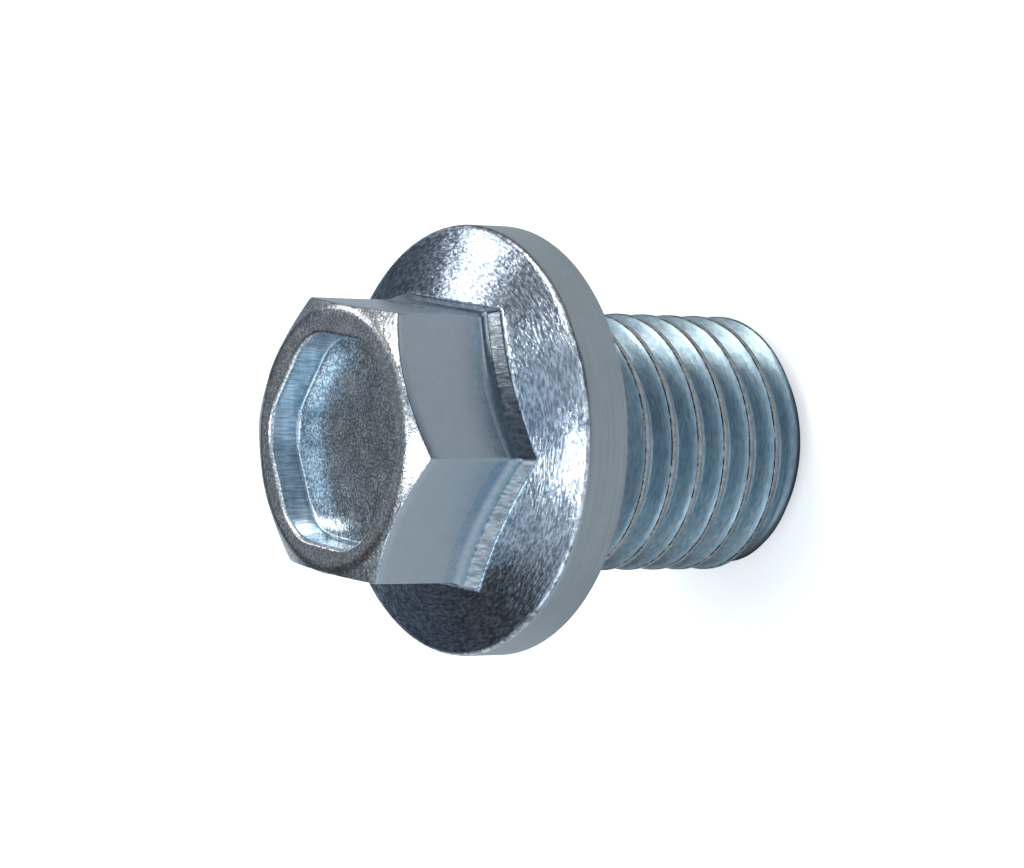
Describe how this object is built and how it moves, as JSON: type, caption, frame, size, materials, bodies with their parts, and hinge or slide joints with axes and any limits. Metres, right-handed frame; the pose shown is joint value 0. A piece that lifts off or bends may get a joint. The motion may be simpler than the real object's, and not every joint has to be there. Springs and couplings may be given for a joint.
{
  "type": "oil drain plug",
  "caption": "Flanged hexagon-head oil drain plug with a fine metric thread; the flat underside of its conical flange seals against a sump.",
  "frame": {"origin": "centre of the flat sealing face under the flange, on the thread's axis", "axes": "+Z along the plug's axis, from the threaded tip towards the hexagon head; +X and -X face two opposite flats of the hexagon"},
  "size_m": [0.0194, 0.0194, 0.0227],
  "materials": {
    "zinc_steel": "bright zinc plating with a cool grey-blue tint, satin"
  },
  "bodies": {
    "root": {"drain_plug": "zinc_steel"}
  },
  "joints": []
}
